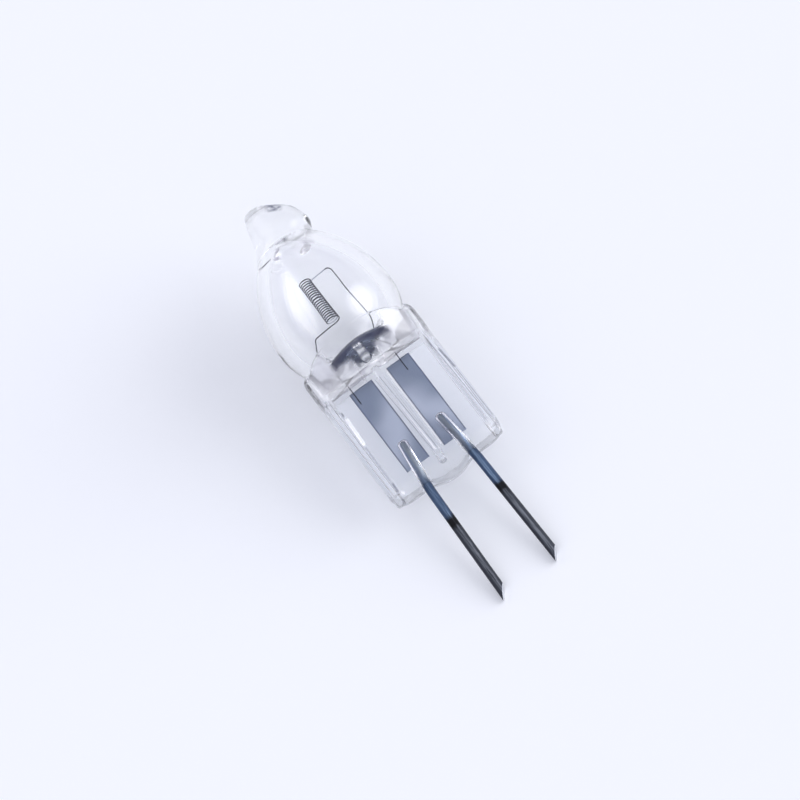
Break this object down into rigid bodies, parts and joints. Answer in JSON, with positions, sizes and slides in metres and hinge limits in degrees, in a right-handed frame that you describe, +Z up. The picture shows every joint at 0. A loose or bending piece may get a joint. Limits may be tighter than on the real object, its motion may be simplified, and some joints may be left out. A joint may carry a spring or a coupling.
{
  "type": "halogen bulb",
  "caption": "Clear quartz halogen capsule bulb: an egg-shaped bulb with a melted stub, a coiled filament on wire legs, a flat pressed foot with sealing foils, and straight contact pins.",
  "frame": {"origin": "on the floor, below the middle of the bulb's overall box, as it lies on its bulb and its pin tips", "axes": "+Z up, +Y along the floor from the pins towards the closed stub, +X across the flat foot"},
  "size_m": [0.009, 0.0324, 0.0091],
  "materials": {
    "quartz": "clear, fire-polished",
    "foil": "bright rolled foil",
    "pin": "drawn wire with a heat tint",
    "filament": "drawn wire"
  },
  "bodies": {
    "root": {"quartz_envelope": "quartz", "foil_left": "foil", "foil_right": "foil", "pin_left": "pin", "pin_right": "pin", "filament": "filament"}
  },
  "joints": []
}
